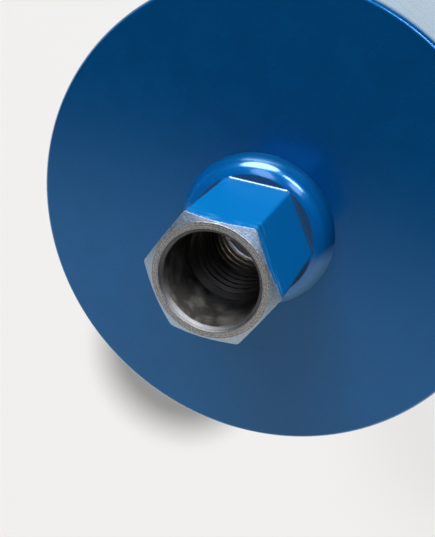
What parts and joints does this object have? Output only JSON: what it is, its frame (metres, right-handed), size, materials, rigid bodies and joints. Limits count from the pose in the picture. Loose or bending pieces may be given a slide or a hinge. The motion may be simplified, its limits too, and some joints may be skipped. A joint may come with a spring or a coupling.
{
  "type": "diamond core bit",
  "caption": "Wet diamond core bit: painted steel barrel with a ring of brazed segments and a hexagonal threaded hub.",
  "frame": {"origin": "on the barrel's axis, at the cutting face of the segment ring that the bit stands on", "axes": "+Z along the barrel's axis, from the cutting face towards the threaded hub; the hub's flats face +X and -X, its corners +Y and -Y"},
  "size_m": [0.182, 0.1812, 0.5038],
  "materials": {
    "hub_steel": "gloss blue paint on the flats and collar, bare turned steel on the end and in the bore",
    "weld_paint": "gloss blue paint",
    "body_paint": "semi-gloss blue paint",
    "segment_matrix": "sintered metal with diamond grit",
    "silver_solder": "satin silver solder"
  },
  "bodies": {
    "root": {"barrel_tube": "body_paint", "closing_plate": "body_paint", "hub_weld": "weld_paint", "seam_weld": "body_paint", "segment_01": "segment_matrix", "segment_02": "segment_matrix", "segment_03": "segment_matrix", "segment_04": "segment_matrix", "segment_05": "segment_matrix", "segment_06": "segment_matrix", "segment_07": "segment_matrix", "segment_08": "segment_matrix", "segment_09": "segment_matrix", "segment_10": "segment_matrix", "segment_11": "segment_matrix", "segment_12": "segment_matrix", "segment_13": "segment_matrix", "segment_14": "segment_matrix", "solder_01": "silver_solder", "solder_02": "silver_solder", "solder_03": "silver_solder", "solder_04": "silver_solder", "solder_05": "silver_solder", "solder_06": "silver_solder", "solder_07": "silver_solder", "solder_08": "silver_solder", "solder_09": "silver_solder", "solder_10": "silver_solder", "solder_11": "silver_solder", "solder_12": "silver_solder", "solder_13": "silver_solder", "solder_14": "silver_solder", "threaded_hub": "hub_steel"}
  },
  "joints": []
}
